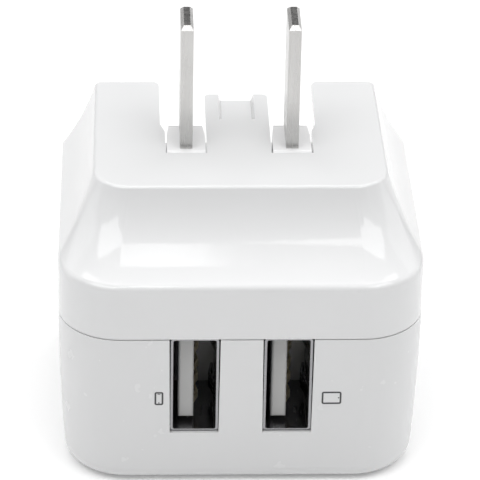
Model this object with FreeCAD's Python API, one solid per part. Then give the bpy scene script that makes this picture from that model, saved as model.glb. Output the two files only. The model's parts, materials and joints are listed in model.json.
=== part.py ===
"""A two-port USB wall charger with a folding two-blade mains plug, as separate solids.

Millimetres. X is the width, Y the depth with the ports on the -Y face, and Z is up: the charger stands on
its outer face with the plug blades pointing up. The origin is the middle of the underside.
"""
import FreeCAD, Part
import math
import os
from FreeCAD import Vector

# Case
WIDTH = 43.5
DEPTH = 35.4
SEAM_Z = 20.25
LEDGE_Z = 27.2
PLATFORM_Z = 35.6
PLATFORM_WIDTH = 35.2
PLATFORM_SETBACK = 9.3
CORNER_R = 7.4
PLATFORM_CORNER_R = 4.3
BACK_CORNER_R = 0.8
BOTTOM_R = 2.0
LEDGE_R = 1.0
RIDGE_R = 0.45
SIDE_TAPER = 0.75
PLAN_TAPER = 0.4
WALL = 1.6
LIP_THICK = 0.7
LIP_HEIGHT = 1.2
LIP_GAP = 0.1
SEAM_REVEAL = 0.18
COVE_FRONT_START = math.radians(17)
COVE_SIDE_TURN = math.radians(20)
COVE_STEPS = 6

# Plug
BLADE_SPACING = 12.7
BLADE_THICK = 1.5
BLADE_WIDTH = 6.35
BLADE_OUT = 16.35
BLADE_TIP_THICK = 0.75
BLADE_TIP_BEVEL = 0.5
BLADE_TIP_FRONT_CHAMFER = 0.5
BLADE_TIP_BACK_CHAMFER = 1.1
HINGE_Y = 1.45
HINGE_DROP = 2.4
BLOCK_WIDTH = 4.6
BLOCK_FRONT = 1.7
BLOCK_BACK = 5.9
BLOCK_BELOW = 1.6
BLOCK_NOSE_R = 0.6
BLOCK_HEEL_R = 1.4
BLADE_FRONT = 0.8
PIVOT_R = 0.9
BAR_R = 1.15
RUNNING_GAP = 0.05
SIDE_GAP = 0.2

# Fold slots
SLOT_DEPTH = 8.8
SLOT_INNER_X = 3.85
SLOT_OUTER_X = 9.4
SLOT_GROOVE = 0.4
SLOT_LIP = 1.7
CHEEK_END = 4.9
CHEEK_RAMP = 1.8
LOBE_END_Y = 14.2
RECESS_START_Y = 7.9
RECESS_DEPTH = 0.9
RECESS_FLOOR_HALF = 1.85
RECESS_TOP_HALF = 2.15
POCKET_WALL = 1.2

# USB receptacles
PORT_X = 5.53
PORT_WIDE = 5.7
PORT_TALL = 13.06
PORT_LONG = 14.0
PORT_METAL = 0.29
PORT_BOTTOM = 7.1
PORT_RECESS = 0.35
TONGUE_THICK = 1.84
TONGUE_TALL = 11.1
TONGUE_SET_IN = 1.5
TONGUE_FACE_X = -0.07
BLOCK_SET_IN = 10.5
TAB_Z = 3.3
TAB_ROOT = 3.2
TAB_LONG = 5.2
TAB_BOW = 0.75
TAB_BOW_BY_TONGUE = 0.25
CONTACT_TIP = 2.1
CONTACT_RISE = 0.75
CONTACT_THICK = 0.25
CONTACT_PITCHES = (-3.5, -1.0, 1.0, 3.5)

# Board and parts on it
BOARD_TOP = 7.0
BOARD_THICK = 1.2
BOARD_WIDTH = 37.0
BOARD_DEPTH = 31.4
FLOOR_THICK = 1.6
LEAD_R = 0.3
LEAD_LENGTH_BELOW = 1.0
BULK_R = 4.5
BULK_TALL = 15.0
OUTPUT_R = 4.0
OUTPUT_TALL = 12.0
CORE_HALF_X = 6.8
CORE_HALF_Y = 3.0
CORE_TALL = 13.5
CORE_LEG = 2.5
BOBBIN_HALF_X = 5.1
BOBBIN_HALF_Y = 6.2
BOBBIN_FLANGE = 1.1
PLACES = {
    "front_bulk_capacitor": Vector(-14.0, -8.0, BOARD_TOP),
    "rear_bulk_capacitor": Vector(-14.0, 11.0, BOARD_TOP),
    "front_output_capacitor": Vector(14.2, -10.2, BOARD_TOP),
    "rear_output_capacitor": Vector(14.2, -1.9, BOARD_TOP),
    "transformer": Vector(2.6, 7.5, BOARD_TOP + 1.5),
    "choke": Vector(-6.9, 4.0, BOARD_TOP),
    "clamp_capacitor": Vector(-6.9, 11.4, BOARD_TOP),
    "fuse_resistor": Vector(-14.0, -1.0, BOARD_TOP),
    "y_capacitor": Vector(12.4, 14.4, BOARD_TOP),
    "output_diode": Vector(15.65, 9.6, BOARD_TOP),
    "heat_spreader": Vector(17.4, 9.6, BOARD_TOP),
}

FRONT_Y = -DEPTH / 2
BACK_Y = DEPTH / 2
HINGE_Z = PLATFORM_Z - HINGE_DROP
SLOT_FLOOR_Z = PLATFORM_Z - SLOT_DEPTH
POCKET_BOTTOM_Z = SLOT_FLOOR_Z - POCKET_WALL
POCKET_FRONT_Y = HINGE_Y - BLOCK_FRONT - 0.15
BLADE_X = BLADE_SPACING / 2
CHEEK_INNER_X = BLADE_X - BLOCK_WIDTH / 2 - SIDE_GAP
CHEEK_OUTER_X = BLADE_X + BLOCK_WIDTH / 2 + SIDE_GAP
BEARING_END_X = CHEEK_OUTER_X + POCKET_WALL
POCKET_HALF = SLOT_OUTER_X + SLOT_GROOVE + POCKET_WALL
PORT_MID_Z = PORT_BOTTOM + PORT_TALL / 2
PORT_FRONT_Y = FRONT_Y + PORT_RECESS
BAR_WALL_X = 2.75
PIVOT_END_X = BEARING_END_X + 1.2
WIRE_X = 13.15
WIRE_R = 0.5
SIDES = {"left": -1, "right": 1}
RETAINER_LOW_Z = POCKET_BOTTOM_Z - 1.2
SCREW_R = 0.8
SIDE_LOBE_R = 1.4
CENTRE_LOBE_R = 0.7


def box(x0, x1, y0, y1, z0, z1):
    low = Vector(min(x0, x1), min(y0, y1), min(z0, z1))
    return Part.makeBox(abs(x1 - x0), abs(y1 - y0), abs(z1 - z0), low)


def rod_x(radius, x0, x1, y, z):
    return Part.makeCylinder(radius, abs(x1 - x0), Vector(min(x0, x1), y, z), Vector(1, 0, 0))


def rod_y(radius, y0, y1, x, z):
    return Part.makeCylinder(radius, y1 - y0, Vector(x, y0, z), Vector(0, 1, 0))


def rod_z(radius, z0, z1, x, y):
    return Part.makeCylinder(radius, z1 - z0, Vector(x, y, z0))


def prism(points, along):
    """A straight-sided outline pushed along a vector."""
    return Part.Face(Part.makePolygon(points + points[:1])).extrude(along)


def join(shapes):
    return shapes[0].multiFuse(shapes[1:]).removeSplitter() if len(shapes) > 1 else shapes[0]


def arc(center, radius, start, end, z):
    """A level arc between two angles in degrees."""
    def at(angle):
        a = math.radians(angle)
        return Vector(center[0] + radius * math.cos(a), center[1] + radius * math.sin(a), z)
    return Part.Arc(at(start), at((start + end) / 2), at(end)).toShape()


def outline(z, side=0.0, front=0.0, back=0.0, corner=CORNER_R):
    """The case's plan outline at a height, drawn in from the widest outline by the given amounts.

    The sides draw together slightly towards the back, and meet the front corners' arcs without a kink.
    """
    lean = math.atan2(PLAN_TAPER, DEPTH)
    y0 = FRONT_Y + front
    y1 = BACK_Y - back
    front_x = WIDTH / 2 - side - math.tan(lean) * front
    back_x = WIDTH / 2 - side - math.tan(lean) * (DEPTH - back)
    center_x = front_x - corner * (1 + math.sin(lean)) / math.cos(lean)
    touch = (center_x + corner * math.cos(lean), y0 + corner + corner * math.sin(lean))
    line = lambda a, b: Part.makeLine(Vector(a[0], a[1], z), Vector(b[0], b[1], z))
    turn = math.degrees(lean)
    return Part.Wire([
        line((-center_x, y0), (center_x, y0)),
        arc((center_x, y0 + corner), corner, -90, turn, z),
        line(touch, (back_x, y1)),
        line((back_x, y1), (-back_x, y1)),
        line((-back_x, y1), (-touch[0], touch[1])),
        arc((-center_x, y0 + corner), corner, 180 - turn, 270, z),
    ])


def slab(z0, z1, **insets):
    return Part.Face(outline(z0, **insets)).extrude(Vector(0, 0, z1 - z0))


def cove_arc(inset, rise, start):
    """Radius and end angle of the arc that climbs from (0, 0) to (inset, rise), leaving at a start angle."""
    chord = math.hypot(inset, rise)
    turn = 2 * (math.atan2(rise, inset) - start)
    return chord / (2 * math.sin(turn / 2)), start + turn


def cove(shift_in=0.0, shift_down=0.0, lowest=0.0):
    """The concave sweep from the ledge to the platform, as one smooth loft."""
    rise = PLATFORM_Z - LEDGE_Z
    side_inset = (WIDTH - PLATFORM_WIDTH) / 2
    front_r, front_end = cove_arc(PLATFORM_SETBACK, rise, COVE_FRONT_START)
    side_start = math.atan2(rise, side_inset) - COVE_SIDE_TURN / 2
    side_r, _ = cove_arc(side_inset, rise, side_start)
    sections = []
    for step in range(COVE_STEPS + 1):
        angle = COVE_FRONT_START + (front_end - COVE_FRONT_START) * step / COVE_STEPS
        front = front_r * (math.sin(angle) - math.sin(COVE_FRONT_START))
        height = front_r * (math.cos(COVE_FRONT_START) - math.cos(angle))
        side_angle = math.acos(math.cos(side_start) - height / side_r)
        side = side_r * (math.sin(side_angle) - math.sin(side_start))
        corner = CORNER_R + (PLATFORM_CORNER_R - CORNER_R) * front / PLATFORM_SETBACK
        sections.append(outline(
            LEDGE_Z + height - shift_down,
            side=side + shift_in,
            front=front + shift_in,
            back=lowest,
            corner=corner - shift_in / 2,
        ))
    return Part.makeLoft(sections, True, False)


def edges_where(shape, test):
    return [e for e in shape.Edges if test(e)]


def level_edges(shape, z, whole_ring=False):
    """Edges that lie at one height: the whole ring, or all but those of the straight back."""
    def test(e):
        b = e.BoundBox
        level = abs(b.ZMin - z) < 0.01 and abs(b.ZMax - z) < 0.01
        return level and (whole_ring or b.YMin < BACK_Y - 0.01)
    return edges_where(shape, test)


def back_corner_edges(shape):
    """The two upright runs where the sides meet the straight back."""
    def test(e):
        b = e.BoundBox
        return b.YMin > BACK_Y - 0.01 and b.ZLength > 0.3
    return edges_where(shape, test)


def edge_runs(shape, axis, test):
    """Straight edges along one axis (0, 1 or 2) that pass a test on their middle point."""
    found = []
    for e in shape.Edges:
        size = (e.BoundBox.XLength, e.BoundBox.YLength, e.BoundBox.ZLength)
        if size[axis] > 0.2 and sum(size) - size[axis] < 0.01 and test(e.CenterOfMass):
            found.append(e)
    return found


def slot_outline(z0, z1, groove=0.0):
    """One fold slot between two heights: narrow at the cheeks, wider behind them, open at the back."""
    wide = SLOT_OUTER_X + groove
    points = [
        (CHEEK_INNER_X, POCKET_FRONT_Y),
        (CHEEK_OUTER_X, POCKET_FRONT_Y),
        (CHEEK_OUTER_X, CHEEK_END),
        (wide, CHEEK_END + CHEEK_RAMP),
        (wide, BACK_Y + 1),
        (SLOT_INNER_X, BACK_Y + 1),
        (SLOT_INNER_X, CHEEK_END + CHEEK_RAMP),
        (CHEEK_INNER_X, CHEEK_END),
    ]
    return prism([Vector(x, y, z0) for x, y in points], Vector(0, 0, z1 - z0))


def mirror_x(shape):
    return shape.mirror(Vector(0, 0, 0), Vector(1, 0, 0))


def both_sides(shape):
    return [shape, mirror_x(shape)]


def upper_outside():
    body = slab(SEAM_Z, LEDGE_Z).fuse(cove()).removeSplitter()
    body = body.makeFillet(LEDGE_R, level_edges(body, LEDGE_Z))
    body = body.makeFillet(BACK_CORNER_R, back_corner_edges(body))
    return body.makeFillet(RIDGE_R, level_edges(body, PLATFORM_Z, whole_ring=True))


def upper_cavity():
    """The hollow under the band and the cove."""
    band_top = LEDGE_Z - WALL
    sweep = cove(shift_in=1.3, shift_down=WALL, lowest=WALL)
    band = slab(SEAM_Z - 0.01, band_top, side=WALL, front=WALL, back=WALL, corner=CORNER_R - WALL)
    return band.fuse(sweep)


def fold_space():
    """Everything cut away so that the blades can turn and lie down."""
    cuts = []
    lip_bottom = PLATFORM_Z - SLOT_LIP
    cuts += both_sides(slot_outline(lip_bottom - 0.01, PLATFORM_Z + 1))
    cuts += both_sides(slot_outline(SLOT_FLOOR_Z, lip_bottom, SLOT_GROOVE))
    under_hinge = box(
        CHEEK_INNER_X, CHEEK_OUTER_X, POCKET_FRONT_Y, CHEEK_END + 2.6, POCKET_BOTTOM_Z - 1, HINGE_Z,
    )
    cuts += both_sides(under_hinge)
    cuts.append(box(-SLOT_OUTER_X, SLOT_OUTER_X, LOBE_END_Y, BACK_Y + 1, SLOT_FLOOR_Z, PLATFORM_Z + 1))
    return cuts


def hinge_space():
    """The centre lobe's hollow, and the channels that let the bar and pivots in from below."""
    low = POCKET_BOTTOM_Z - 1
    bar_r = BAR_R + RUNNING_GAP
    pivot_r = PIVOT_R + RUNNING_GAP
    hollow = box(-BAR_WALL_X, BAR_WALL_X, HINGE_Y - 2.4, HINGE_Y + 2.2, low, HINGE_Z + 1.25)
    bar_channel = box(-CHEEK_INNER_X - 1, CHEEK_INNER_X + 1, HINGE_Y - bar_r, HINGE_Y + bar_r, low, HINGE_Z)
    bar_seat = rod_x(bar_r, -CHEEK_INNER_X - 1, CHEEK_INNER_X + 1, HINGE_Y, HINGE_Z)
    cuts = [hollow, bar_channel, bar_seat]
    end = POCKET_HALF + 1
    start = CHEEK_OUTER_X - 0.5
    cuts += both_sides(box(start, end, HINGE_Y - pivot_r, HINGE_Y + pivot_r, low, HINGE_Z))
    cuts += both_sides(rod_x(pivot_r, start, end, HINGE_Y, HINGE_Z))
    spring_room = box(BEARING_END_X, end, HINGE_Y - 2.6, HINGE_Y + 2.6, low, HINGE_Z + 2.0)
    cuts += both_sides(spring_room)
    return cuts


def lobe_recess():
    """The shallow catch recess in the end of the centre lobe, with a deeper pocket in each near corner."""
    low = PLATFORM_Z - RECESS_DEPTH
    points = [
        Vector(-RECESS_FLOOR_HALF, RECESS_START_Y, low),
        Vector(RECESS_FLOOR_HALF, RECESS_START_Y, low),
        Vector(RECESS_TOP_HALF, RECESS_START_Y, PLATFORM_Z + 0.01),
        Vector(-RECESS_TOP_HALF, RECESS_START_Y, PLATFORM_Z + 0.01),
    ]
    channel = prism(points, Vector(0, LOBE_END_Y - RECESS_START_Y + 1, 0))
    corner = box(
        RECESS_FLOOR_HALF - 0.5, RECESS_FLOOR_HALF, RECESS_START_Y, RECESS_START_Y + 1.1,
        low - 0.7, low + 0.1,
    )
    return [channel] + both_sides(corner)


def screw_places():
    return [Vector(0, HINGE_Y + 5.3, 0), Vector(0, HINGE_Y - 5.6, 0)]


def make_upper_shell():
    outside = upper_outside()
    pocket = box(-POCKET_HALF, POCKET_HALF, POCKET_FRONT_Y - POCKET_WALL, BACK_Y, POCKET_BOTTOM_Z, PLATFORM_Z)
    boss = rod_z(2.2, POCKET_BOTTOM_Z, PLATFORM_Z - 1, 0, screw_places()[1].y)
    inside = upper_cavity().cut(pocket.multiFuse([boss]))
    shell = outside.cut(inside)
    lip = slab(
        SEAM_Z - LIP_HEIGHT, SEAM_Z + 0.5,
        side=WALL - LIP_THICK, front=WALL - LIP_THICK, back=WALL - LIP_THICK,
        corner=CORNER_R - WALL + LIP_THICK,
    ).cut(slab(
        SEAM_Z - LIP_HEIGHT - 1, SEAM_Z + 1,
        side=WALL, front=WALL, back=WALL, corner=CORNER_R - WALL,
    ))
    port_gap = box(
        PORT_X - PORT_WIDE / 2 - 0.3, PORT_X + PORT_WIDE / 2 + 0.3,
        FRONT_Y + 0.3, FRONT_Y + 3, SEAM_Z - LIP_HEIGHT - 1, SEAM_Z,
    )
    shell = shell.fuse(lip).cut(both_sides(port_gap))
    shell = shell.cut(fold_space() + hinge_space() + lobe_recess())
    screw_holes = [rod_z(SCREW_R, POCKET_BOTTOM_Z - 1, PLATFORM_Z - 2.2, p.x, p.y) for p in screw_places()]
    return shell.cut(screw_holes).cut(lobe_corners()).removeSplitter()


def corner_cutter(x, y, radius, x_way, y_way):
    """Rounds an upright corner at (x, y); the ways point from the corner into the solid."""
    block = box(x - x_way, x + x_way * radius, y - y_way, y + y_way * radius, SLOT_FLOOR_Z, PLATFORM_Z + 1)
    post = rod_z(radius, SLOT_FLOOR_Z - 1, PLATFORM_Z + 2, x + x_way * radius, y + y_way * radius)
    return block.cut(post)


def lobe_corners():
    """Rounds the free corners of the side lobes and of the centre lobe."""
    side = corner_cutter(SLOT_OUTER_X, BACK_Y, SIDE_LOBE_R, 1, -1)
    centre = corner_cutter(SLOT_INNER_X, LOBE_END_Y, CENTRE_LOBE_R, -1, -1)
    return both_sides(side) + both_sides(centre)


def lower_profile(offset, z0, draw_in, y):
    """The lower shell seen from the front: sides that draw in towards the bottom as one large arc."""
    def half(z):
        fall = (SEAM_Z - z) / SEAM_Z
        return WIDTH / 2 - offset - draw_in - SIDE_TAPER * fall * fall
    top, middle = SEAM_Z, (SEAM_Z + z0) / 2
    low, mid, high = [Vector(half(z), y, z) for z in (z0, middle, top)]
    right = Part.Arc(low, mid, high).toShape()
    low, mid, high = [Vector(-half(z), y, z) for z in (z0, middle, top)]
    left = Part.Arc(high, mid, low).toShape()
    roof = Part.makeLine(Vector(half(top), y, top), Vector(-half(top), y, top))
    floor = Part.makeLine(Vector(-half(z0), y, z0), Vector(half(z0), y, z0))
    return Part.Wire([right, roof, left, floor])


def lower_block(offset, z0, bottom_r, back_r):
    """The lower shell's outside, or its inside when offset by the wall."""
    spare = 1.0
    front = lower_profile(offset, z0 - spare, 0, FRONT_Y + offset)
    back = lower_profile(offset, z0 - spare, PLAN_TAPER, BACK_Y - offset)
    below = box(-WIDTH, WIDTH, -DEPTH, DEPTH, z0 - 2 * spare, z0)
    block = Part.makeLoft([front, back], True, True).cut(below)
    def front_upright(e):
        b = e.BoundBox
        return b.ZLength > SEAM_Z - z0 - 0.5 and b.YLength < 1 and b.YMax < 0
    block = block.makeFillet(CORNER_R - offset, edges_where(block, front_upright))
    back_y = BACK_Y - offset
    bottoms = edges_where(
        block, lambda e: abs(e.BoundBox.ZMax - z0) < 0.01 and e.BoundBox.YMin < back_y - 0.01,
    )
    block = block.makeFillet(bottom_r, bottoms)
    rim = edges_where(block, lambda e: e.BoundBox.YMin > back_y - 0.01 and e.BoundBox.ZMin < SEAM_Z - 0.1)
    return block.makeFillet(back_r, rim)


def make_lower_shell():
    shell = lower_block(0, 0, BOTTOM_R, BACK_CORNER_R).cut(lower_block(WALL, FLOOR_THICK, 0.6, 0.4))
    seat = slab(
        SEAM_Z - LIP_HEIGHT - LIP_GAP, SEAM_Z + 1,
        side=WALL - LIP_THICK - LIP_GAP, front=WALL - LIP_THICK - LIP_GAP, back=WALL - LIP_THICK - LIP_GAP,
        corner=CORNER_R - WALL + LIP_THICK + LIP_GAP,
    )
    inside_reveal = slab(
        SEAM_Z - SEAM_REVEAL - 1, SEAM_Z + 2,
        side=SEAM_REVEAL, front=SEAM_REVEAL, back=SEAM_REVEAL, corner=CORNER_R - SEAM_REVEAL,
    )
    backs = edge_runs(inside_reveal, 2, lambda p: p.y > BACK_Y - 1)
    inside_reveal = inside_reveal.makeFillet(BACK_CORNER_R - SEAM_REVEAL, backs)
    reveal = slab(SEAM_Z - SEAM_REVEAL, SEAM_Z + 1, side=-1, front=-1, back=-1).cut(inside_reveal)
    shell = shell.cut([seat, reveal])
    posts = [rod_z(1.7, FLOOR_THICK - 0.1, BOARD_TOP - BOARD_THICK, x, y) for x, y in post_places()]
    shell = shell.multiFuse(posts)
    openings = [port_opening(PORT_X), port_opening(-PORT_X)]
    return shell.cut(openings).removeSplitter()


def post_places():
    return [(x, y) for x in (-16.6, 16.6) for y in (-10.6, 13.0)]


def port_opening(x):
    """A port's cut-out in the front wall, a little wider at the seam than at its foot."""
    low, high = PORT_BOTTOM - 0.06, SEAM_Z + 1
    foot, head = PORT_WIDE / 2 + 0.06, PORT_WIDE / 2 + 0.18
    points = [(x - foot, low), (x + foot, low), (x + head, high), (x - head, high)]
    return prism([Vector(px, FRONT_Y - 1, pz) for px, pz in points], Vector(0, WALL + 2.2, 0))


def make_prong_carrier():
    """Two moulded blocks on one bar, slotted for the blades."""
    top, bottom = HINGE_Z + HINGE_DROP, HINGE_Z - BLOCK_BELOW
    front, back = HINGE_Y - BLOCK_FRONT, HINGE_Y + BLOCK_BACK
    x0, x1 = BLADE_X - BLOCK_WIDTH / 2, BLADE_X + BLOCK_WIDTH / 2
    block = box(x0, x1, front, back, bottom, top)
    def along_x(y, z):
        return edge_runs(block, 0, lambda p: abs(p.y - y) < 0.01 and abs(p.z - z) < 0.01)
    block = block.makeFillet(BLOCK_HEEL_R, along_x(back, top))
    block = block.makeFillet(BLOCK_NOSE_R, along_x(front, top))
    block = block.makeFillet(BLOCK_BELOW - 0.05, along_x(front, bottom))
    block = block.makeFillet(1.2, along_x(back, bottom))
    taper = prism([
        Vector(x1 - 0.35, back + 0.01, bottom - 1),
        Vector(x1 + 0.01, back + 0.01, bottom - 1),
        Vector(x1 + 0.01, back - 3.6, bottom - 1),
    ], Vector(0, 0, top - bottom + 2))
    other = taper.mirror(Vector(BLADE_X, 0, 0), Vector(1, 0, 0))
    block = block.cut([taper, other])
    bar = rod_x(BAR_R, -x0, x0, HINGE_Y, HINGE_Z)
    carrier = bar.multiFuse(both_sides(block)).removeSplitter()
    return carrier.cut([make_blade(1), make_blade(-1)])


def make_blade(side):
    """A flat blade with a bevelled tip, and the pivot stub that carries the current."""
    y0 = HINGE_Y - BLADE_FRONT
    y1 = y0 + BLADE_WIDTH
    top, bottom = PLATFORM_Z + BLADE_OUT, HINGE_Z - BLOCK_BELOW + 0.5
    tail = y0 + 4.2
    half = BLADE_THICK / 2
    x0 = BLADE_X - half
    outline_points = [
        Vector(x0, y0, bottom),
        Vector(x0, tail, bottom),
        Vector(x0, tail, PLATFORM_Z - 1.6),
        Vector(x0, y1, PLATFORM_Z - 1.6),
        Vector(x0, y1, top - BLADE_TIP_BACK_CHAMFER),
        Vector(x0, y1 - BLADE_TIP_BACK_CHAMFER, top),
        Vector(x0, y0 + BLADE_TIP_FRONT_CHAMFER, top),
        Vector(x0, y0, top - BLADE_TIP_FRONT_CHAMFER),
    ]
    plate = prism(outline_points, Vector(BLADE_THICK, 0, 0))
    slim = (BLADE_THICK - BLADE_TIP_THICK) / 2
    bevel = prism([
        Vector(x0 + BLADE_THICK - slim, y0 - 1, top + 0.01),
        Vector(x0 + BLADE_THICK + 0.01, y0 - 1, top + 0.01),
        Vector(x0 + BLADE_THICK + 0.01, y0 - 1, top - BLADE_TIP_BEVEL),
    ], Vector(0, BLADE_WIDTH + 2, 0))
    plate = plate.cut([bevel, bevel.mirror(Vector(BLADE_X, 0, 0), Vector(1, 0, 0))])
    stub = rod_x(PIVOT_R, BLADE_X + half - 0.01, PIVOT_END_X, HINGE_Y, HINGE_Z)
    blade = plate.fuse(stub).removeSplitter()
    return blade if side > 0 else mirror_x(blade)


def make_carrier_retainer():
    """The plate screwed under the hinge, with ribs that close the bearings from below."""
    plate = box(-12.6, 12.6, HINGE_Y - 8.0, HINGE_Y + 7.6, RETAINER_LOW_Z, POCKET_BOTTOM_Z)
    plate = plate.makeFillet(1.0, edge_runs(plate, 2, lambda p: True))
    top = HINGE_Z
    bar_rib = box(
        BAR_WALL_X + 0.1, CHEEK_INNER_X - 0.1, HINGE_Y - BAR_R, HINGE_Y + BAR_R,
        POCKET_BOTTOM_Z - 0.1, top,
    )
    pivot_rib = box(
        CHEEK_OUTER_X + 0.1, BEARING_END_X - 0.1,
        HINGE_Y - PIVOT_R + 0.05, HINGE_Y + PIVOT_R - 0.05, POCKET_BOTTOM_Z - 0.1, top,
    )
    ribs = both_sides(bar_rib) + both_sides(pivot_rib)
    body = plate.multiFuse(ribs)
    seats = [rod_x(BAR_R + RUNNING_GAP, -CHEEK_INNER_X, CHEEK_INNER_X, HINGE_Y, HINGE_Z)]
    seats += both_sides(rod_x(PIVOT_R + RUNNING_GAP, CHEEK_OUTER_X, BEARING_END_X, HINGE_Y, HINGE_Z))
    holes = [rod_z(SCREW_R + 0.15, RETAINER_LOW_Z - 1, POCKET_BOTTOM_Z + 1, p.x, p.y) for p in screw_places()]
    return body.cut(seats + holes).removeSplitter()


def make_retainer_screws():
    screws = []
    for p in screw_places():
        shank = rod_z(SCREW_R - 0.02, RETAINER_LOW_Z - 0.01, PLATFORM_Z - 3.0, p.x, p.y)
        head = rod_z(1.7, RETAINER_LOW_Z - 1.1, RETAINER_LOW_Z, p.x, p.y)
        rim = edges_where(head, lambda e: abs(e.BoundBox.ZMax - (RETAINER_LOW_Z - 1.1)) < 0.01)
        head = head.makeFillet(0.5, rim)
        cross = join([
            box(p.x - 1.0, p.x + 1.0, p.y - 0.2, p.y + 0.2, RETAINER_LOW_Z - 1.2, RETAINER_LOW_Z - 0.6),
            box(p.x - 0.2, p.x + 0.2, p.y - 1.0, p.y + 1.0, RETAINER_LOW_Z - 1.2, RETAINER_LOW_Z - 0.6),
        ])
        screws.append(head.fuse(shank).cut(cross).removeSplitter())
    return Part.makeCompound(screws)


def make_contact_spring(side):
    """A brass fork that straddles the blade's pivot, on a foot fixed to the retainer."""
    x0 = BEARING_END_X + 0.3
    x1 = x0 + 0.5
    foot_z = POCKET_BOTTOM_Z
    fork = box(x0, x1, HINGE_Y - 2.0, HINGE_Y + 2.0, foot_z, HINGE_Z + 1.4)
    mouth = box(x0 - 1, x1 + 1, HINGE_Y - PIVOT_R - 0.02, HINGE_Y + PIVOT_R + 0.02, HINGE_Z, HINGE_Z + 3)
    seat = rod_x(PIVOT_R + 0.02, x0 - 1, x1 + 1, HINGE_Y, HINGE_Z)
    foot = box(x0, 12.6, HINGE_Y - 2.0, HINGE_Y + 2.0, foot_z, foot_z + 0.5)
    tail = box(12.1, 12.6, HINGE_Y - 1.0, HINGE_Y + 1.0, foot_z, foot_z + 2.6)
    spring = fork.cut([mouth, seat]).multiFuse([foot, tail]).removeSplitter()
    return spring if side > 0 else mirror_x(spring)


def make_detent_spring():
    """A flat steel leaf on a foot that stands just in front of the bar."""
    y = HINGE_Y - BAR_R - 0.3
    leaf = box(-2.2, 2.2, y - 0.25, y, POCKET_BOTTOM_Z, HINGE_Z + 0.9)
    foot = box(-2.2, 2.2, y - 0.8, y, POCKET_BOTTOM_Z, POCKET_BOTTOM_Z + 0.25)
    return leaf.fuse(foot).removeSplitter()


def wire_path(points, radius):
    """A round wire through points, with each corner turned as an arc that uses 0.45 of its shorter run."""
    edges = []
    at = points[0]
    for before, corner, after in zip(points, points[1:], points[2:]):
        back, ahead = before - corner, after - corner
        reach = 0.45 * min(back.Length, ahead.Length)
        back.normalize()
        ahead.normalize()
        start, end = corner + back * reach, corner + ahead * reach
        half = back.getAngle(ahead) / 2
        bisector = back + ahead
        bisector.normalize()
        turn_r = reach * math.tan(half)
        middle = corner + bisector * (turn_r / math.sin(half) - turn_r)
        edges += [Part.makeLine(at, start), Part.Arc(start, middle, end).toShape()]
        at = end
    edges.append(Part.makeLine(at, points[-1]))
    path = Part.Wire(edges)
    direction = points[1] - points[0]
    profile = Part.Wire(Part.makeCircle(radius, points[0], direction))
    return path.makePipeShell([profile], True, False)


def make_mains_wire(side):
    """From the contact spring's tail, out past the pocket and down to the board."""
    points = [
        Vector(side * WIRE_X, HINGE_Y, POCKET_BOTTOM_Z + 1.9),
        Vector(side * WIRE_X, HINGE_Y + 0.3, 23.6),
        Vector(side * 13.9, 4.4, 19.0),
        Vector(side * 13.6, 4.4, BOARD_TOP + 0.05),
    ]
    return wire_path(points, WIRE_R)


def usb_frame(shape, side):
    """Moves a receptacle piece from the origin (mouth centre, facing -Y) to its port."""
    return shape.translated(Vector(SIDES[side] * PORT_X, PORT_FRONT_Y, PORT_MID_Z))


def rounded_tube(half_x, half_z, length, radius):
    block = box(-half_x, half_x, 0, length, -half_z, half_z)
    return block.makeFillet(radius, edge_runs(block, 1, lambda p: True))


def shell_leg_places():
    half = PORT_WIDE / 2 - PORT_METAL / 2
    return [(x, y) for x in (-half, half) for y in (3.2, PORT_LONG - 2.8)]


def spring_tab(z, bow):
    """A tab cut free on three sides in the +X broad side and bowed into the mouth."""
    outer, inner = PORT_WIDE / 2, PORT_WIDE / 2 - PORT_METAL
    crest, tip = TAB_ROOT + TAB_LONG * 0.62, TAB_ROOT + TAB_LONG
    return prism([
        Vector(outer, TAB_ROOT - 0.01, z - 1.0),
        Vector(outer, TAB_ROOT + 0.4, z - 1.0),
        Vector(outer - bow, crest, z - 1.0),
        Vector(outer - bow * 0.6, tip, z - 1.0),
        Vector(inner - bow * 0.6, tip, z - 1.0),
        Vector(inner - bow, crest, z - 1.0),
        Vector(inner, TAB_ROOT + 0.4, z - 1.0),
        Vector(inner, TAB_ROOT - 0.01, z - 1.0),
    ], Vector(0, 0, 2.0))


def make_usb_shell(side):
    """A folded steel sleeve with two spring tabs on each broad side and four board legs."""
    half_x, half_z = PORT_WIDE / 2, PORT_TALL / 2
    inner_x = half_x - PORT_METAL
    shell = rounded_tube(half_x, half_z, PORT_LONG, 0.5)
    hollow = rounded_tube(inner_x, half_z - PORT_METAL, PORT_LONG + 2, 0.25).translated(Vector(0, -1, 0))
    shell = shell.cut(hollow)
    windows, tabs = [], []
    for z in (-TAB_Z, TAB_Z):
        window = box(inner_x - 0.2, half_x + 0.2, TAB_ROOT, TAB_ROOT + TAB_LONG + 0.6, z - 1.35, z + 1.35)
        windows += both_sides(window)
        tabs += [spring_tab(z, TAB_BOW), mirror_x(spring_tab(z, TAB_BOW_BY_TONGUE))]
    foot_z = BOARD_TOP - BOARD_THICK - LEAD_LENGTH_BELOW - PORT_MID_Z
    legs = [
        box(x - PORT_METAL / 2, x + PORT_METAL / 2, y - 0.7, y + 0.7, foot_z, 0.8 - half_z)
        for x, y in shell_leg_places()
    ]
    shell = shell.cut(windows).multiFuse(tabs + legs).removeSplitter()
    return usb_frame(shell, side)


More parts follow.
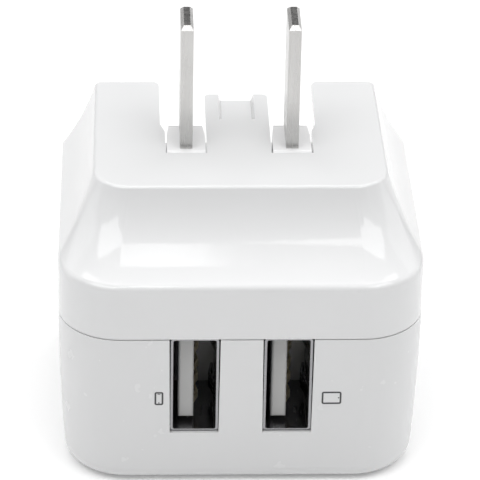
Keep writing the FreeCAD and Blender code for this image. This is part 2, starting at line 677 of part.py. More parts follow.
def make_usb_insulator(side):
    """The plastic tongue, off-centre in the mouth, and the block that carries it."""
    inner_x, inner_z = PORT_WIDE / 2 - PORT_METAL, PORT_TALL / 2 - PORT_METAL
    block = rounded_tube(inner_x, inner_z, PORT_LONG - 0.3 - BLOCK_SET_IN, 0.25)
    block.translate(Vector(0, BLOCK_SET_IN, 0))
    tongue = box(
        TONGUE_FACE_X - TONGUE_THICK, TONGUE_FACE_X,
        TONGUE_SET_IN, BLOCK_SET_IN + 0.5, -TONGUE_TALL / 2, TONGUE_TALL / 2,
    )
    tongue = tongue.makeFillet(0.3, [e for e in tongue.Edges if abs(e.BoundBox.YMax - TONGUE_SET_IN) < 0.01])
    grooves = [
        box(TONGUE_FACE_X - 0.45, TONGUE_FACE_X + 0.1, CONTACT_TIP - 0.3, PORT_LONG, z - 0.56, z + 0.56)
        for z in CONTACT_PITCHES
    ]
    return usb_frame(block.fuse(tongue).removeSplitter().cut(grooves), side)


def contact_tail_y(number):
    return PORT_LONG + 0.25 + 0.5 * number


def make_usb_contacts(side):
    """Four springs: a bowed nose above the tongue, a straight run through the block, a tail to the board."""
    low = TONGUE_FACE_X - 0.43
    high = low + CONTACT_THICK
    foot_z = BOARD_TOP - BOARD_THICK - LEAD_LENGTH_BELOW - PORT_MID_Z
    contacts = []
    for number, z in enumerate(CONTACT_PITCHES):
        rear = contact_tail_y(number)
        nose = [
            Vector(low, rear, z - 0.5),
            Vector(low, CONTACT_TIP + 5.0, z - 0.5),
            Vector(low + CONTACT_RISE, CONTACT_TIP + 1.4, z - 0.5),
            Vector(low + 0.1, CONTACT_TIP, z - 0.5),
            Vector(high + 0.1, CONTACT_TIP - 0.12, z - 0.5),
            Vector(high + CONTACT_RISE, CONTACT_TIP + 1.4, z - 0.5),
            Vector(high, CONTACT_TIP + 5.1, z - 0.5),
            Vector(high, rear, z - 0.5),
        ]
        spring = prism(nose, Vector(0, 0, 1.0))
        tail = box(low, high, rear - 0.01, rear + 0.25, foot_z, z + 0.5)
        contacts.append(spring.fuse(tail).removeSplitter())
    return usb_frame(Part.makeCompound(contacts), side)


def board_holes():
    """Everything that passes through the board."""
    holes = [rod_z(LEAD_R + 0.08, 0, BOARD_TOP + 1, p.x, p.y) for p in lead_places()]
    for side in SIDES:
        for x, y in shell_leg_places():
            slot = box(x - 0.3, x + 0.3, y - 0.9, y + 0.9, -12, 0)
            holes.append(usb_frame(slot, side))
        for number in range(len(CONTACT_PITCHES)):
            y = contact_tail_y(number)
            low = TONGUE_FACE_X - 0.43
            holes.append(usb_frame(box(low - 0.08, low + 0.38, y - 0.08, y + 0.33, -12, 0), side))
    return holes


def make_main_board():
    x, y = BOARD_WIDTH / 2, BOARD_DEPTH / 2
    board = box(-x, x, -y, y, BOARD_TOP - BOARD_THICK, BOARD_TOP)
    board = board.makeFillet(CORNER_R - WALL, edge_runs(board, 2, lambda p: p.y < 0))
    center = PLACES["transformer"]
    gap = box(center.x - 5.6, center.x + 5.6, center.y - 0.6, center.y + 0.6, 0, BOARD_TOP + 1)
    gap = gap.makeFillet(0.55, edge_runs(gap, 2, lambda p: True))
    return board.cut([gap] + board_holes())


def lead_pairs():
    """The lead spacing of each part with two round leads, as an offset to either side of its middle."""
    return {
        "front_bulk_capacitor": Vector(0, 2.5, 0),
        "rear_bulk_capacitor": Vector(0, 2.5, 0),
        "front_output_capacitor": Vector(0, 1.75, 0),
        "rear_output_capacitor": Vector(0, 1.75, 0),
        "choke": Vector(0, 1.25, 0),
        "clamp_capacitor": Vector(0, 2.5, 0),
        "fuse_resistor": Vector(4.4, 0, 0),
        "y_capacitor": Vector(2.5, 0, 0),
        "output_diode": Vector(0, 1.27, 0),
    }


def pin_places():
    center = PLACES["transformer"]
    return [center + Vector(x, y, 0) for x in (-4.0, 0, 4.0) for y in (-4.7, 4.7)]


def lead_places():
    places = pin_places()
    for name, offset in lead_pairs().items():
        places += [PLACES[name] + offset, PLACES[name] - offset]
    return places


def leads(name, top):
    """The two leads of a part, from under the board up to a height."""
    offset = lead_pairs()[name]
    low = BOARD_TOP - BOARD_THICK - LEAD_LENGTH_BELOW
    return [rod_z(LEAD_R, low, top, p.x, p.y) for p in (PLACES[name] + offset, PLACES[name] - offset)]


def make_can_capacitor(name, radius, tall):
    """An electrolytic capacitor: a can with a rolled groove near its foot and a scored top."""
    p = PLACES[name]
    can = rod_z(radius, p.z, p.z + tall, p.x, p.y)
    can = can.makeFillet(0.5, [e for e in can.Edges if abs(e.BoundBox.ZMin - p.z - tall) < 0.01])
    groove = Part.makeTorus(radius + 0.25, 0.6, Vector(p.x, p.y, p.z + 2.2))
    score = [
        box(p.x - radius * 0.6, p.x + radius * 0.6, p.y - 0.15, p.y + 0.15, p.z + tall - 0.2, p.z + tall + 1),
        box(p.x - 0.15, p.x + 0.15, p.y - radius * 0.6, p.y + radius * 0.6, p.z + tall - 0.2, p.z + tall + 1),
    ]
    return can.cut([groove] + score).multiFuse(leads(name, p.z + 0.5)).removeSplitter()


def centred(center, half_x, half_y, z0, z1):
    return box(center.x - half_x, center.x + half_x, center.y - half_y, center.y + half_y, z0, z1)


def window_z():
    """The bottom and top of the windows in the transformer core."""
    low = PLACES["transformer"].z + CORE_LEG
    return low, low + CORE_TALL - 2 * CORE_LEG


def make_transformer_core():
    """Two E-shaped ferrite halves glued into one block with two windows."""
    p = PLACES["transformer"]
    low, high = window_z()
    core = centred(p, CORE_HALF_X, CORE_HALF_Y, p.z, p.z + CORE_TALL)
    window = box(p.x + CORE_LEG, p.x + CORE_HALF_X - 1.6, p.y - 10, p.y + 10, low, high)
    return core.cut([window, window.mirror(Vector(p.x, 0, 0), Vector(1, 0, 0))])


def make_transformer_bobbin():
    """A spool round the core's middle leg, standing on two rails of pins."""
    p = PLACES["transformer"]
    low, high = window_z()
    flange_low = centred(p, BOBBIN_HALF_X, BOBBIN_HALF_Y, low + 0.05, low + BOBBIN_FLANGE)
    flange_high = centred(p, BOBBIN_HALF_X, BOBBIN_HALF_Y, high - BOBBIN_FLANGE, high - 0.05)
    tube = centred(p, CORE_LEG + 0.8, CORE_HALF_Y + 0.8, low + 0.05, high - 0.05)
    rail = box(
        p.x - BOBBIN_HALF_X, p.x + BOBBIN_HALF_X, p.y + 3.25, p.y + BOBBIN_HALF_Y,
        BOARD_TOP + 0.4, low + 0.5,
    )
    rails = [rail, rail.mirror(Vector(0, p.y, 0), Vector(0, 1, 0))]
    foot = BOARD_TOP - BOARD_THICK - LEAD_LENGTH_BELOW
    pins = [rod_z(LEAD_R, foot, BOARD_TOP + 1.5, q.x, q.y) for q in pin_places()]
    leg = centred(p, CORE_LEG + 0.05, CORE_HALF_Y + 0.05, low - 1, high + 1)
    return join([flange_low, flange_high, tube] + rails).cut(leg).multiFuse(pins).removeSplitter()


def make_transformer_winding():
    p = PLACES["transformer"]
    low, high = window_z()
    z0, z1 = low + BOBBIN_FLANGE + 0.05, high - BOBBIN_FLANGE - 0.05
    coil = centred(p, BOBBIN_HALF_X - 0.1, BOBBIN_HALF_Y - 0.7, z0, z1)
    coil = coil.makeFillet(1.4, edge_runs(coil, 2, lambda q: True))
    return coil.cut(centred(p, CORE_LEG + 0.85, CORE_HALF_Y + 0.85, z0 - 1, z1 + 1))


def make_choke_core():
    """A ferrite drum: a thin waist between two discs."""
    p = PLACES["choke"]
    foot = rod_z(2.2, p.z, p.z + 1.2, p.x, p.y)
    head = rod_z(2.2, p.z + 7.8, p.z + 9.0, p.x, p.y)
    waist = rod_z(1.0, p.z + 1.0, p.z + 8.0, p.x, p.y)
    return join([foot, head, waist] + leads("choke", p.z + 0.5))


def make_choke_winding():
    p = PLACES["choke"]
    coil = rod_z(1.9, p.z + 1.25, p.z + 7.75, p.x, p.y)
    return coil.cut(rod_z(1.05, p.z, p.z + 9, p.x, p.y))


def make_fuse_resistor():
    """A bulged ceramic body lying along X, on two bent leads."""
    p = PLACES["fuse_resistor"]
    z = p.z + 1.9
    body = rod_x(1.5, p.x - 3.2, p.x + 3.2, p.y, z)
    body = body.makeFillet(0.6, [e for e in body.Edges if e.BoundBox.XLength < 0.01])
    foot = BOARD_TOP - BOARD_THICK - LEAD_LENGTH_BELOW
    wires = []
    for way in (-1, 1):
        points = [
            Vector(p.x + way * 3.0, p.y, z),
            Vector(p.x + way * 4.4, p.y, z),
            Vector(p.x + way * 4.4, p.y, foot),
        ]
        wires.append(wire_path(points, LEAD_R))
    return body.multiFuse(wires).removeSplitter()


def make_clamp_capacitor():
    p = PLACES["clamp_capacitor"]
    block = centred(p, 1.6, 3.6, p.z + 0.3, p.z + 7.0)
    block = block.makeFillet(0.4, block.Edges)
    return block.multiFuse(leads("clamp_capacitor", p.z + 1.0)).removeSplitter()


def make_y_capacitor():
    """A ceramic disc standing on edge."""
    p = PLACES["y_capacitor"]
    disc = rod_y(3.2, p.y - 0.95, p.y + 0.95, p.x, p.z + 4.4)
    disc = disc.makeFillet(0.5, [e for e in disc.Edges if e.BoundBox.YLength < 0.01])
    return disc.multiFuse(leads("y_capacitor", p.z + 3.2)).removeSplitter()


def make_output_diode():
    p = PLACES["output_diode"]
    body = centred(p, 1.2, 2.5, p.z + 2.6, p.z + 8.6)
    return body.multiFuse(leads("output_diode", p.z + 3.0)).removeSplitter()


def make_heat_spreader():
    """A folded aluminium plate behind the output diode."""
    p = PLACES["heat_spreader"]
    plate = centred(p, 0.5, 4.2, p.z, p.z + 11.5)
    flange = box(p.x - 2.6, p.x + 0.5, p.y - 4.2, p.y + 4.2, p.z + 10.6, p.z + 11.5)
    return plate.fuse(flange).removeSplitter()


def chip(center, half_x, half_y, thick, way, legs):
    """A flat chip on either face of the board (way +1 above, -1 below), its legs along both Y sides."""
    z = BOARD_TOP if way > 0 else BOARD_TOP - BOARD_THICK
    body = centred(center, half_x, half_y, z + way * 0.1, z + way * (0.1 + thick))
    pieces = [body]
    for number in range(legs):
        x = center.x - half_x + (number + 0.5) * 2 * half_x / legs
        for side in (-1, 1):
            y0 = center.y + side * (half_y - 0.1)
            y1 = center.y + side * (half_y + 0.45)
            y2 = center.y + side * (half_y + 1.0)
            pieces.append(box(x - 0.2, x + 0.2, y0, y1, z + way * thick * 0.5, z + way * (thick * 0.5 + 0.2)))
            pieces.append(box(x - 0.2, x + 0.2, y1 - side * 0.2, y1, z, z + way * (thick * 0.5 + 0.2)))
            pieces.append(box(x - 0.2, x + 0.2, y1 - side * 0.2, y2, z, z + way * 0.2))
    return join(pieces)


def chip_row(start, count, pitch, half, thick):
    """Small two-ended chips in a row along Y on the underside of the board."""
    z = BOARD_TOP - BOARD_THICK
    return Part.makeCompound([
        centred(start + Vector(0, pitch * n, 0), half, half * 0.62, z - thick, z) for n in range(count)
    ])


def make_insulation_sheet():
    sheet = box(-16.5, 16.5, -13.0, 14.5, FLOOR_THICK + 0.05, FLOOR_THICK + 0.25)
    holes = [rod_z(2.1, 0, 5, x, y) for x, y in post_places()]
    return sheet.cut(holes)


PARTS = {
    "upper_shell": make_upper_shell,
    "lower_shell": make_lower_shell,
    "prong_carrier": make_prong_carrier,
    "left_blade": lambda: make_blade(-1),
    "right_blade": lambda: make_blade(1),
    "carrier_retainer": make_carrier_retainer,
    "retainer_screws": make_retainer_screws,
    "left_contact_spring": lambda: make_contact_spring(-1),
    "right_contact_spring": lambda: make_contact_spring(1),
    "detent_spring": make_detent_spring,
    "live_wire": lambda: make_mains_wire(-1),
    "neutral_wire": lambda: make_mains_wire(1),
    "left_usb_shell": lambda: make_usb_shell("left"),
    "right_usb_shell": lambda: make_usb_shell("right"),
    "left_usb_insulator": lambda: make_usb_insulator("left"),
    "right_usb_insulator": lambda: make_usb_insulator("right"),
    "left_usb_contacts": lambda: make_usb_contacts("left"),
    "right_usb_contacts": lambda: make_usb_contacts("right"),
    "main_board": make_main_board,
    "front_bulk_capacitor": lambda: make_can_capacitor("front_bulk_capacitor", BULK_R, BULK_TALL),
    "rear_bulk_capacitor": lambda: make_can_capacitor("rear_bulk_capacitor", BULK_R, BULK_TALL),
    "front_output_capacitor": lambda: make_can_capacitor("front_output_capacitor", OUTPUT_R, OUTPUT_TALL),
    "rear_output_capacitor": lambda: make_can_capacitor("rear_output_capacitor", OUTPUT_R, OUTPUT_TALL),
    "transformer_core": make_transformer_core,
    "transformer_bobbin": make_transformer_bobbin,
    "transformer_winding": make_transformer_winding,
    "choke_core": make_choke_core,
    "choke_winding": make_choke_winding,
    "fuse_resistor": make_fuse_resistor,
    "clamp_capacitor": make_clamp_capacitor,
    "y_capacitor": make_y_capacitor,
    "output_diode": make_output_diode,
    "heat_spreader": make_heat_spreader,
    "bridge_rectifier": lambda: chip(Vector(-14.2, 3.4, 0), 3.2, 2.0, 2.3, -1, 2),
    "power_switch_chip": lambda: chip(Vector(-10.8, -9.0, 0), 2.5, 2.0, 1.5, -1, 4),
    "optocoupler": lambda: chip(PLACES["transformer"], 2.3, 3.0, 2.0, -1, 2),
    "port_controller_chip": lambda: chip(Vector(0, -9.5, 0), 2.1, 2.5, 1.4, 1, 4),
    "chip_resistors": lambda: chip_row(Vector(12.6, -6.2, 0), 6, 2.2, 1.0, 0.5),
    "chip_capacitors": lambda: chip_row(Vector(0, -13.0, 0), 4, 2.4, 1.0, 1.2),
    "insulation_sheet": make_insulation_sheet,
}


os.makedirs("parts", exist_ok=True)
for name, make in PARTS.items():
    make().exportStep("parts/" + name + ".step")
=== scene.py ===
import json
import math
import bmesh
import bpy
from mathutils import Matrix, Vector


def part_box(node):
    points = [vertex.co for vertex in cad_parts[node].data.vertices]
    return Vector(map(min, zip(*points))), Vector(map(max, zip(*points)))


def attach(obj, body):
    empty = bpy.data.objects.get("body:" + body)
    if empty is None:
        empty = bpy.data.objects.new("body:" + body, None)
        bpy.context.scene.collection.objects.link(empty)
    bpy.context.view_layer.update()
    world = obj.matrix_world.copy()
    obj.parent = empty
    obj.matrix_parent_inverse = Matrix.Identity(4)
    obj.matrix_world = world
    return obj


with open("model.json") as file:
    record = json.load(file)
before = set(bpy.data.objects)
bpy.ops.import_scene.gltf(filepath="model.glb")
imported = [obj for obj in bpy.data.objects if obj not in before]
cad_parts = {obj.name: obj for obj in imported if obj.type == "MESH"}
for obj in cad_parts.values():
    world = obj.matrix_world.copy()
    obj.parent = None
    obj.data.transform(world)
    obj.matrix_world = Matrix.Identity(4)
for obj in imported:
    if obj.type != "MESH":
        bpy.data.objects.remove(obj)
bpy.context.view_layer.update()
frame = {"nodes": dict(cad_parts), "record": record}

MM = 0.001

# Camera, in the row frame
TARGET = Vector((0.16, -2.7, 24.84)) * MM
DISTANCE = 419.05 * MM
ELEVATION = math.radians(31.0)
YAW = math.radians(-2.56)
ROLL = math.radians(-1.16)
LENS_MM = 260.9
SENSOR_MM = 36
NEAR_CLIP = 10 * MM

# Studio light, as radiance: the sky brightens overhead, and the floor glows a little, like a light
# table. The softboxes all stand LIGHT_DISTANCE metres from the middle of the body.
SKY_HORIZON = 0.10
SKY_OVERHEAD = 1.25
SKY_FALL_OFF = 4
FLOOR_GLOW = 0.13
FLOOR_SIZE = 6
FLOOR_DROP = 0.0002
FLOOR_WHITE = (0.89, 0.89, 0.89)
FLOOR_SHADE = (0.88, 0.88, 0.88)
FLOOR_PATCH_MM = 400.0
FLOOR_ROUGHNESS = 0.6
BODY_CENTRE = Vector((0, 0, 25)) * MM
LIGHT_DISTANCE = 0.6

# Patterns of the finishes: sizes in millimetres, shades and spreads as shares of the base value
FLOW_MM = 9.0
FLOW_STRETCH = (1, 1, 0.5)
FLOW_SHADE = 0.988
POLISH_MM = 3.0
POLISH_SPREAD = 0.08
TARNISH_MM = 4.0
TARNISH_SHADE = 0.93
LINE_SPREAD = 0.3
GRAIN_SPREAD = 0.15
VARNISH_MM = 1.0
TURN_HEIGHT_MM = 0.05
WAVE_PERIOD = math.pi / 10  # a wave texture's bands are this far apart at a scale of 1

# Printed signs on the front wall beside the ports, in millimetres: a phone and a tablet in outline
INK_PROUD = 0.012
INK_SUNK = 0.05
INK_CORNER = 0.05
INK_LINE = 0.21
PHONE_SIGN = {"x": -9.75, "z": 11.95, "wide": 1.05, "tall": 1.85, "corner": 0.24}
TABLET_SIGN = {"x": 10.75, "z": 11.95, "wide": 2.35, "tall": 1.75, "corner": 0.26}
PHONE_BUTTON = {"wide": 0.16, "tall": 0.16}
PHONE_SPEAKER = {"wide": 0.36, "tall": 0.09}
PHONE_END_MARGIN = 0.31
TABLET_BUTTON = {"wide": 0.17, "tall": 0.17}
TABLET_END_MARGIN = 0.33
CORNER_STEPS = 8


def make_camera():
    forward = Vector((
        -math.sin(YAW) * math.cos(ELEVATION),
        math.cos(YAW) * math.cos(ELEVATION),
        -math.sin(ELEVATION),
    ))
    right = Vector((math.cos(YAW), math.sin(YAW), 0))
    up = right.cross(forward)
    rolled_right = right * math.cos(ROLL) - up * math.sin(ROLL)
    rolled_up = up * math.cos(ROLL) + right * math.sin(ROLL)
    data = bpy.data.cameras.new("camera")
    data.lens = LENS_MM
    data.sensor_width = SENSOR_MM
    data.clip_start = NEAR_CLIP
    camera = bpy.data.objects.new("camera", data)
    turn = Matrix((rolled_right, rolled_up, -forward)).transposed().to_4x4()
    camera.matrix_world = Matrix.Translation(TARGET - forward * DISTANCE) @ turn
    bpy.context.collection.objects.link(camera)
    bpy.context.scene.camera = camera


def softbox(name, azimuth, elevation, size, radiance):
    """A softbox round the object: azimuth 0 is the front, 90 the right, 180 the back."""
    turn, rise = math.radians(azimuth), math.radians(elevation)
    outward = Vector((
        math.sin(turn) * math.cos(rise),
        -math.cos(turn) * math.cos(rise),
        math.sin(rise),
    ))
    data = bpy.data.lights.new(name, "AREA")
    data.shape = "RECTANGLE"
    data.size, data.size_y = size
    data.energy = radiance * math.pi * size[0] * size[1]
    light = bpy.data.objects.new(name, data)
    light.location = BODY_CENTRE + outward * LIGHT_DISTANCE
    light.rotation_euler = (-outward).to_track_quat("-Z", "Y").to_euler()
    bpy.context.collection.objects.link(light)


def link(tree, a, b):
    tree.links.new(a, b)


class Finish:
    """A node material for one slot, with patterns in object coordinates and sizes in millimetres."""

    def __init__(self, slot, color, roughness, metallic=0.0):
        self.slot = slot
        self.material = bpy.data.materials.new(slot)
        self.material.use_nodes = True
        self.tree = self.material.node_tree
        self.shader = self.tree.nodes["Principled BSDF"]
        self.color = color
        self.roughness = roughness
        self.shader.inputs["Base Color"].default_value = (*color, 1)
        self.shader.inputs["Roughness"].default_value = roughness
        self.shader.inputs["Metallic"].default_value = metallic
        self.coordinates = self.tree.nodes.new("ShaderNodeTexCoord").outputs["Object"]

    def node(self, kind, **settings):
        made = self.tree.nodes.new(kind)
        for key, value in settings.items():
            setattr(made, key, value)
        return made

    def stretched(self, stretch):
        mapping = self.node("ShaderNodeMapping")
        mapping.inputs["Scale"].default_value = stretch
        link(self.tree, self.coordinates, mapping.inputs["Vector"])
        return mapping.outputs["Vector"]

    def noise(self, size_mm, stretch=(1, 1, 1), detail=3.0, rough=0.5):
        noise = self.node("ShaderNodeTexNoise")
        noise.inputs["Scale"].default_value = 1 / (size_mm * MM)
        noise.inputs["Detail"].default_value = detail
        noise.inputs["Roughness"].default_value = rough
        link(self.tree, self.stretched(stretch), noise.inputs["Vector"])
        return noise.outputs["Fac"]

    def remap(self, value, low, high, from_low=0.25, from_high=0.75):
        remap = self.node("ShaderNodeMapRange")
        remap.inputs["From Min"].default_value = from_low
        remap.inputs["From Max"].default_value = from_high
        remap.inputs["To Min"].default_value = low
        remap.inputs["To Max"].default_value = high
        link(self.tree, value, remap.inputs["Value"])
        return remap.outputs["Result"]

    def vary_roughness(self, value, spread):
        varied = self.remap(value, self.roughness - spread, self.roughness + spread)
        link(self.tree, varied, self.shader.inputs["Roughness"])
        return self

    def vary_color(self, value, other, from_low=0.25, from_high=0.75):
        mix = self.node("ShaderNodeMix", data_type="RGBA")
        mix.inputs["A"].default_value = (*self.color, 1)
        mix.inputs["B"].default_value = (*other, 1)
        link(self.tree, self.remap(value, 0, 1, from_low, from_high), mix.inputs["Factor"])
        link(self.tree, mix.outputs["Result"], self.shader.inputs["Base Color"])
        return self

    def bump(self, value, height_mm):
        bump = self.node("ShaderNodeBump")
        bump.inputs["Distance"].default_value = height_mm * MM
        bump.inputs["Strength"].default_value = 1.0
        link(self.tree, value, bump.inputs["Height"])
        link(self.tree, bump.outputs["Normal"], self.shader.inputs["Normal"])
        return self


def shifted(color, factor):
    return tuple(c * factor for c in color)


def moulded(slot, color, roughness, grain_mm=0.2, grain_height=0.002):
    """Injection-moulded plastic: faint flow shading, uneven polish and a fine skin texture."""
    f = Finish(slot, color, roughness)
    flow = f.noise(FLOW_MM, FLOW_STRETCH)
    f.vary_color(flow, shifted(color, FLOW_SHADE))
    f.vary_roughness(f.noise(POLISH_MM), roughness * POLISH_SPREAD)
    return f.bump(f.noise(grain_mm), grain_height)


def metal(slot, color, roughness, stretch=(1, 1, 1), line_mm=0.5, height=0.0015):
    """Plated or rolled metal: fine lines along one direction, with slightly uneven tone."""
    f = Finish(slot, color, roughness, metallic=1.0)
    f.vary_color(f.noise(TARNISH_MM), shifted(color, TARNISH_SHADE))
    lines = f.noise(line_mm, stretch, detail=4.0)
    f.vary_roughness(lines, roughness * LINE_SPREAD)
    return f.bump(lines, height)


def speckled(slot, color, other, roughness, size_mm=0.25, height=0.006):
    """Fired or sintered material: two tones of grain with a slightly rough skin."""
    f = Finish(slot, color, roughness)
    grain = f.noise(size_mm, detail=5.0, rough=0.7)
    f.vary_color(grain, other)
    f.vary_roughness(grain, roughness * GRAIN_SPREAD)
    return f.bump(grain, height)


def banded(slot, color, other, roughness, turn_mm):
    """Wound wire or tape: fine ridges stacked along Z."""
    f = Finish(slot, color, roughness)
    wave = f.node("ShaderNodeTexWave", wave_type="BANDS", bands_direction="Z", wave_profile="SIN")
    wave.inputs["Scale"].default_value = WAVE_PERIOD / (turn_mm * MM)
    wave.inputs["Distortion"].default_value = 0.3
    link(f.tree, f.coordinates, wave.inputs["Vector"])
    f.vary_color(wave.outputs["Fac"], other, 0.1, 0.9)
    f.vary_roughness(f.noise(VARNISH_MM), roughness * GRAIN_SPREAD)
    return f.bump(wave.outputs["Fac"], TURN_HEIGHT_MM)


def make_finishes():
    made = [
        moulded("gloss_white_plastic", (0.748, 0.751, 0.755), 0.085, grain_height=0.0002),
        moulded("satin_white_plastic", (0.725, 0.728, 0.732), 0.26, grain_mm=0.6, grain_height=0.0006),
        moulded("carrier_plastic", (0.83, 0.83, 0.835), 0.18, grain_height=0.0006),
        metal("nickel_plate", (0.56, 0.555, 0.545), 0.27, (1, 1, 0.05), 0.4),
        metal("port_steel", (0.31, 0.31, 0.32), 0.24, (1, 0.08, 1), 0.3),
        moulded("tongue_plastic", (0.47, 0.47, 0.465), 0.45, grain_height=0.003),
        metal("gold_plate", (0.93, 0.83, 0.62), 0.42, (1, 0.1, 1), 0.2),
        moulded("retainer_plastic", (0.66, 0.66, 0.64), 0.5, grain_height=0.004),
        metal("zinc_plate", (0.66, 0.66, 0.68), 0.35),
        metal("spring_bronze", (0.80, 0.52, 0.28), 0.28, (1, 1, 0.1), 0.3),
        metal("spring_steel", (0.55, 0.55, 0.57), 0.30, (0.1, 1, 1), 0.3),
        moulded("black_wire", (0.015, 0.015, 0.015), 0.42, grain_height=0.004),
        moulded("white_wire", (0.78, 0.78, 0.76), 0.42, grain_height=0.004),
        speckled("board_green", (0.02, 0.16, 0.06), (0.03, 0.22, 0.09), 0.3, 1.2, 0.01),
        speckled("ferrite", (0.05, 0.05, 0.052), (0.09, 0.09, 0.095), 0.55),
        moulded("bobbin_plastic", (0.03, 0.028, 0.025), 0.4, grain_height=0.004),
        banded("yellow_tape", (0.78, 0.52, 0.05), (0.62, 0.40, 0.03), 0.25, 3.1),
        banded("enamelled_copper", (0.55, 0.17, 0.05), (0.26, 0.07, 0.02), 0.25, 0.35),
        moulded("black_sleeve", (0.02, 0.02, 0.024), 0.25, grain_height=0.003),
        moulded("green_sleeve", (0.02, 0.12, 0.09), 0.25, grain_height=0.003),
        speckled("resistor_lacquer", (0.14, 0.28, 0.18), (0.18, 0.33, 0.22), 0.4),
        speckled("film_lacquer", (0.42, 0.06, 0.03), (0.5, 0.09, 0.04), 0.22, 0.8, 0.02),
        speckled("disc_lacquer", (0.04, 0.14, 0.42), (0.05, 0.18, 0.5), 0.3, 0.8, 0.02),
        speckled("chip_black", (0.025, 0.025, 0.027), (0.04, 0.04, 0.042), 0.6, 0.15),
        metal("spreader_aluminium", (0.78, 0.78, 0.79), 0.35, (1, 1, 0.06), 0.4),
        speckled("thick_film", (0.03, 0.03, 0.035), (0.05, 0.05, 0.055), 0.2),
        speckled("ceramic_tan", (0.42, 0.30, 0.18), (0.5, 0.37, 0.24), 0.4),
        moulded("insulation_film", (0.75, 0.75, 0.70), 0.3, grain_height=0.002),
    ]
    return {finish.slot: finish.material for finish in made}


def dress_nodes(finishes):
    slot_of = {part["node"]: part["material_slot"] for part in frame["record"]["subparts"]}
    for name, obj in frame["nodes"].items():
        for slot in obj.material_slots:
            slot.material = finishes[slot_of[name]]


def sign_outline(sign, inset):
    """Points round a rounded rectangle on the front wall, as (x, z), inset from the sign's edge."""
    half_x = sign["wide"] / 2 - inset
    half_z = sign["tall"] / 2 - inset
    radius = max(sign["corner"] - inset, INK_CORNER)
    points = []
    for quarter, (way_x, way_z) in enumerate(((1, 1), (-1, 1), (-1, -1), (1, -1))):
        for step in range(CORNER_STEPS + 1):
            angle = math.radians(90 * (quarter + step / CORNER_STEPS))
            x = sign["x"] + way_x * (half_x - radius) + radius * math.cos(angle)
            z = sign["z"] + way_z * (half_z - radius) + radius * math.sin(angle)
            points.append((x, z))
    return points


def ink_loops(mesh, outline, wall_y):
    """The outline's points at the ink's face and behind the wall's surface."""
    loops = []
    for y in (wall_y - INK_PROUD, wall_y + INK_SUNK):
        loops.append([mesh.verts.new((x * MM, y * MM, z * MM)) for x, z in outline])
    return loops


def bridge(mesh, loop, other):
    count = len(loop)
    for i in range(count):
        j = (i + 1) % count
        mesh.faces.new((loop[i], loop[j], other[j], other[i]))


def add_frame(mesh, sign, wall_y):
    """A closed ring of ink that follows the sign's outline."""
    outer_face, outer_root = ink_loops(mesh, sign_outline(sign, 0), wall_y)
    inner_face, inner_root = ink_loops(mesh, sign_outline(sign, INK_LINE), wall_y)
    bridge(mesh, outer_face, inner_face)
    bridge(mesh, inner_face, inner_root)
    bridge(mesh, inner_root, outer_root)
    bridge(mesh, outer_root, outer_face)


def add_patch(mesh, sign, wall_y):
    """A filled ink patch, such as a button or a speaker slot."""
    face, root = ink_loops(mesh, sign_outline(sign, 0), wall_y)
    bridge(mesh, face, root)
    mesh.faces.new(face)
    mesh.faces.new(reversed(root))


def patch(x, z, size):
    """A small shape with round ends; the corners stop short of meeting, so no edge has zero length."""
    corner = min(size["wide"], size["tall"]) / 2 - 0.001
    return {"x": x, "z": z, "corner": corner, **size}


def make_sign(name, frame_sign, patches, finish):
    """A printed sign on the lower shell's front wall."""
    wall_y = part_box("lower_shell")[0][1] / MM
    mesh = bmesh.new()
    add_frame(mesh, frame_sign, wall_y)
    for each in patches:
        add_patch(mesh, each, wall_y)
    bmesh.ops.recalc_face_normals(mesh, faces=mesh.faces)
    data = bpy.data.meshes.new(name)
    mesh.to_mesh(data)
    mesh.free()
    data.materials.append(finish)
    sign = bpy.data.objects.new(name, data)
    bpy.context.collection.objects.link(sign)
    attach(sign, "case")


def make_signs():
    """A phone beside the left port and a tablet beside the right one."""
    ink = moulded("print_ink", (0.05, 0.05, 0.052), 0.45, grain_height=0.001).material
    x, z = PHONE_SIGN["x"], PHONE_SIGN["z"]
    end = PHONE_SIGN["tall"] / 2 - PHONE_END_MARGIN
    button = patch(x, z - end, PHONE_BUTTON)
    speaker = patch(x, z + end, PHONE_SPEAKER)
    make_sign("phone_sign", PHONE_SIGN, [button, speaker], ink)
    x, z = TABLET_SIGN["x"], TABLET_SIGN["z"]
    end = TABLET_SIGN["wide"] / 2 - TABLET_END_MARGIN
    make_sign("tablet_sign", TABLET_SIGN, [patch(x + end, z, TABLET_BUTTON)], ink)


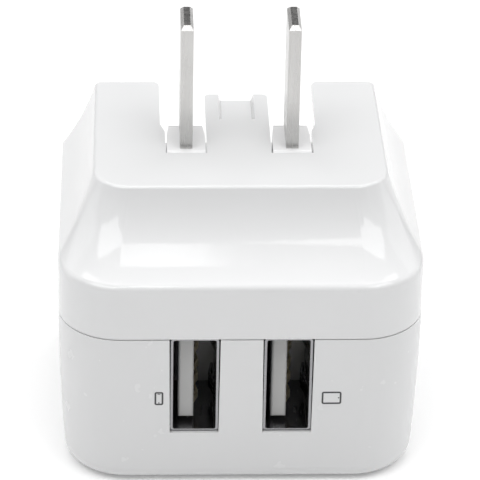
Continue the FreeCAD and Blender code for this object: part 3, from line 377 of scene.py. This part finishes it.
def make_floor():
    bpy.ops.mesh.primitive_plane_add(size=FLOOR_SIZE, location=(0, 0, -FLOOR_DROP))
    floor = bpy.context.object
    floor.name = "floor"
    f = Finish("floor", FLOOR_WHITE, FLOOR_ROUGHNESS)
    f.vary_color(f.noise(FLOOR_PATCH_MM, detail=1.0), FLOOR_SHADE)
    f.shader.inputs["Emission Color"].default_value = (1, 1, 1, 1)
    f.shader.inputs["Emission Strength"].default_value = FLOOR_GLOW
    floor.data.materials.append(f.material)


def math_node(tree, operation, value, *numbers):
    node = tree.nodes.new("ShaderNodeMath")
    node.operation = operation
    tree.links.new(value, node.inputs[0])
    for socket, number in zip(node.inputs[1:], numbers):
        socket.default_value = number
    return node.outputs["Value"]


def make_sky():
    """A white sky, dim at the horizon and bright overhead."""
    world = bpy.data.worlds.new("studio")
    world.use_nodes = True
    tree = world.node_tree
    split = tree.nodes.new("ShaderNodeSeparateXYZ")
    tree.links.new(tree.nodes.new("ShaderNodeTexCoord").outputs["Generated"], split.inputs["Vector"])
    rise = math_node(tree, "MAXIMUM", split.outputs["Z"], 0)
    glow = math_node(tree, "POWER", rise, SKY_FALL_OFF)
    radiance = math_node(tree, "MULTIPLY_ADD", glow, SKY_OVERHEAD, SKY_HORIZON)
    background = tree.nodes["Background"]
    background.inputs["Color"].default_value = (1, 1, 1, 1)
    tree.links.new(radiance, background.inputs["Strength"])
    bpy.context.scene.world = world


def make_lights():
    make_sky()
    softbox("left_softbox", azimuth=-104, elevation=25, size=(0.40, 0.50), radiance=0.9)
    softbox("right_softbox", azimuth=104, elevation=25, size=(0.40, 0.50), radiance=1.0)
    softbox("front_left_softbox", azimuth=-45, elevation=58, size=(0.36, 0.28), radiance=2.9)
    softbox("front_right_softbox", azimuth=47, elevation=58, size=(0.36, 0.28), radiance=2.9)
    softbox("back_softbox", azimuth=180, elevation=65, size=(0.60, 0.22), radiance=2.6)
    softbox("overhead_strip", azimuth=0, elevation=77, size=(0.028, 0.23), radiance=3.6)


bpy.context.scene.view_settings.view_transform = "Standard"
make_camera()
finishes = make_finishes()
dress_nodes(finishes)
make_signs()
make_floor()
make_lights()
